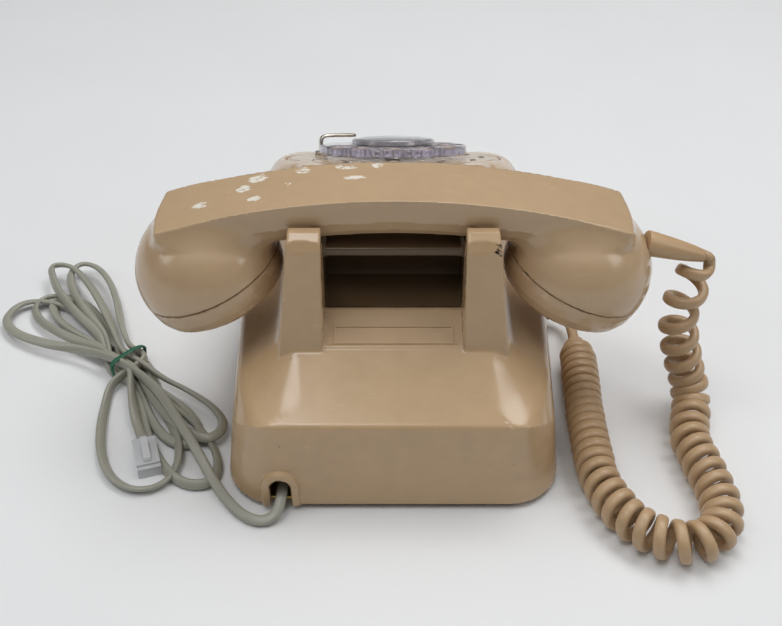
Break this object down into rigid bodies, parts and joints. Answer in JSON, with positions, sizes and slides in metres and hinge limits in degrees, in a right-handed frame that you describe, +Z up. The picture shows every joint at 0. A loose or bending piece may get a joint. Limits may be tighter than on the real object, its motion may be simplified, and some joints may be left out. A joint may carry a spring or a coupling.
{
  "type": "rotary telephone",
  "caption": "Classic desk telephone with a finger-wheel dial, a lift-off handset across its cradle, a coiled handset cord and a tied flat line cord.",
  "frame": {"origin": "on the table, under the middle of the body and handset together", "axes": "+Z up, dial towards -Y, cord notch towards +Y, receiver end of the handset towards +X"},
  "size_m": [0.3691, 0.266, 0.1305],
  "materials": {
    "housing": "glossy beige moulded plastic",
    "base_plate": "yellow passivated sheet steel",
    "foot_front_left": "black",
    "foot_front_right": "black",
    "foot_rear_left": "black",
    "foot_rear_right": "black",
    "housing_screw_front": "plain",
    "housing_screw_rear": "plain",
    "network_box": "grey painted can",
    "terminal_strip": "laminate strip",
    "ringer_frame": "zinc plated",
    "ringer_coil": "varnished winding tape",
    "gong_left": "brass shell",
    "gong_right": "brass shell",
    "gong_screw_left": "plain",
    "gong_screw_right": "plain",
    "hookswitch_bracket": "plain",
    "switch_springs": "nickel silver leaf",
    "dial_face": "beige plate with dark numbers",
    "dial_frame": "plain",
    "governor_cup": "plain",
    "pulse_springs": "nickel silver leaf",
    "finger_stop": "plain",
    "cord_bushing": "black",
    "handset_cord": "beige coiled jacket",
    "handset_cord_tail": "beige jacket",
    "line_cord": "flat grey jacket",
    "line_cord_hank": "flat grey jacket",
    "line_cord_loop": "flat grey jacket",
    "plug_lead": "flat grey jacket",
    "cord_tie": "dark green",
    "plug_body": "clear",
    "plug_contact_1": "gold plated",
    "plug_contact_2": "gold plated",
    "plug_contact_3": "gold plated",
    "plug_contact_4": "gold plated",
    "handset_handle": "glossy beige moulded plastic",
    "receiver_unit": "plain",
    "transmitter_unit": "plain",
    "handset_boot": "soft beige",
    "receiver_cap": "glossy beige moulded plastic",
    "transmitter_cap": "glossy beige moulded plastic",
    "finger_wheel": "clear plastic with a slight purple tint",
    "card_holder": "plain",
    "number_card": "printed paper card with a coating",
    "card_window": "clear plastic",
    "dial_shaft": "plain",
    "main_gear": "plain",
    "governor": "plain",
    "clapper": "plain",
    "volume_wheel": "plain",
    "hook_plunger_left": "white",
    "hook_plunger_right": "white",
    "hookswitch_lever": "plain",
    "plug_latch": "clear"
  },
  "bodies": {
    "telephone_base": {"housing": "housing", "base_plate": "base_plate", "foot_front_left": "foot_front_left", "foot_front_right": "foot_front_right", "foot_rear_left": "foot_rear_left", "foot_rear_right": "foot_rear_right", "housing_screw_front": "housing_screw_front", "housing_screw_rear": "housing_screw_rear", "network_box": "network_box", "terminal_strip": "terminal_strip", "ringer_frame": "ringer_frame", "ringer_coil": "ringer_coil", "gong_left": "gong_left", "gong_right": "gong_right", "gong_screw_left": "gong_screw_left", "gong_screw_right": "gong_screw_right", "hookswitch_bracket": "hookswitch_bracket", "switch_springs": "switch_springs", "dial_face": "dial_face", "dial_frame": "dial_frame", "governor_cup": "governor_cup", "pulse_springs": "pulse_springs", "finger_stop": "finger_stop", "cord_bushing": "cord_bushing", "handset_cord": "handset_cord", "handset_cord_tail": "handset_cord_tail", "line_cord": "line_cord", "line_cord_hank": "line_cord_hank", "line_cord_loop": "line_cord_loop", "plug_lead": "plug_lead", "cord_tie": "cord_tie", "plug_body": "plug_body", "plug_contact_1": "plug_contact_1", "plug_contact_2": "plug_contact_2", "plug_contact_3": "plug_contact_3", "plug_contact_4": "plug_contact_4"},
    "handset": {"handset_handle": "handset_handle", "receiver_unit": "receiver_unit", "transmitter_unit": "transmitter_unit", "handset_boot": "handset_boot"},
    "receiver_cap_body": {"receiver_cap": "receiver_cap"},
    "transmitter_cap_body": {"transmitter_cap": "transmitter_cap"},
    "dial_rotor": {"finger_wheel": "finger_wheel", "card_holder": "card_holder", "number_card": "number_card", "card_window": "card_window", "dial_shaft": "dial_shaft", "main_gear": "main_gear"},
    "governor_rotor": {"governor": "governor"},
    "clapper_body": {"clapper": "clapper"},
    "volume_wheel_body": {"volume_wheel": "volume_wheel"},
    "plunger_left_body": {"hook_plunger_left": "hook_plunger_left"},
    "plunger_right_body": {"hook_plunger_right": "hook_plunger_right"},
    "lever_body": {"hookswitch_lever": "hookswitch_lever"},
    "latch_body": {"plug_latch": "plug_latch"}
  },
  "joints": [
    {"name": "handset_lift", "type": "slide", "parent": "telephone_base", "child": "handset", "axis": [0, 0, 1], "range_m": [0, 0.12]},
    {"name": "plunger_left_rise", "type": "slide", "parent": "telephone_base", "child": "plunger_left_body", "axis": [0, 0, 1], "range_m": [0, 0.006]},
    {"name": "plunger_right_rise", "type": "slide", "parent": "telephone_base", "child": "plunger_right_body", "axis": [0, 0, 1], "range_m": [0, 0.006]},
    {"name": "hookswitch_lever_turn", "type": "hinge", "parent": "telephone_base", "child": "lever_body", "pos_m": [-0.036, 0.088, 0.05], "axis": [-1, 0, 0], "range_deg": [0, 8]},
    {"name": "finger_wheel_turn", "type": "hinge", "parent": "telephone_base", "child": "dial_rotor", "pos_m": [0, -0.056, 0.0847], "axis": [0, 0.4384, -0.8988], "range_deg": [0, 335], "stiffness_Nm_per_rad": 0.004, "springref_deg": -114.59},
    {"name": "governor_turn", "type": "hinge", "parent": "telephone_base", "child": "governor_rotor", "pos_m": [0, -0.03542, 0.09474], "axis": [0, 0.4384, -0.8988], "range_deg": [-1440, 30]},
    {"name": "clapper_swing", "type": "hinge", "parent": "telephone_base", "child": "clapper_body", "pos_m": [0, -0.032, 0.025], "axis": [0, 0, 1], "range_deg": [-4.5, 4.5]},
    {"name": "volume_wheel_turn", "type": "hinge", "parent": "telephone_base", "child": "volume_wheel_body", "pos_m": [0.058, -0.048, 0.01], "axis": [1, 0, 0], "range_deg": [0, 120]},
    {"name": "receiver_cap_turn", "type": "hinge", "parent": "handset", "child": "receiver_cap_body", "pos_m": [0.083, 0.045, 0.085], "axis": [-0.3746, 0, -0.9272], "range_deg": [0, 360]},
    {"name": "transmitter_cap_turn", "type": "hinge", "parent": "handset", "child": "transmitter_cap_body", "pos_m": [-0.083, 0.045, 0.085], "axis": [0.3746, 0, -0.9272], "range_deg": [0, 360]},
    {"name": "plug_latch_press", "type": "hinge", "parent": "telephone_base", "child": "latch_body", "pos_m": [0.11449, 0.09118, 0.0071], "axis": [0.9511, 0.309, 0], "range_deg": [0, 7], "stiffness_Nm_per_rad": 0.05}
  ],
  "couplings": [
    {"joint": "plunger_left_rise", "follows": "handset_lift", "ratio": 0.05},
    {"joint": "plunger_right_rise", "follows": "handset_lift", "ratio": 0.05},
    {"joint": "hookswitch_lever_turn", "follows": "handset_lift", "rad_per_m": 1.1635},
    {"joint": "governor_turn", "follows": "finger_wheel_turn", "ratio": -4}
  ]
}
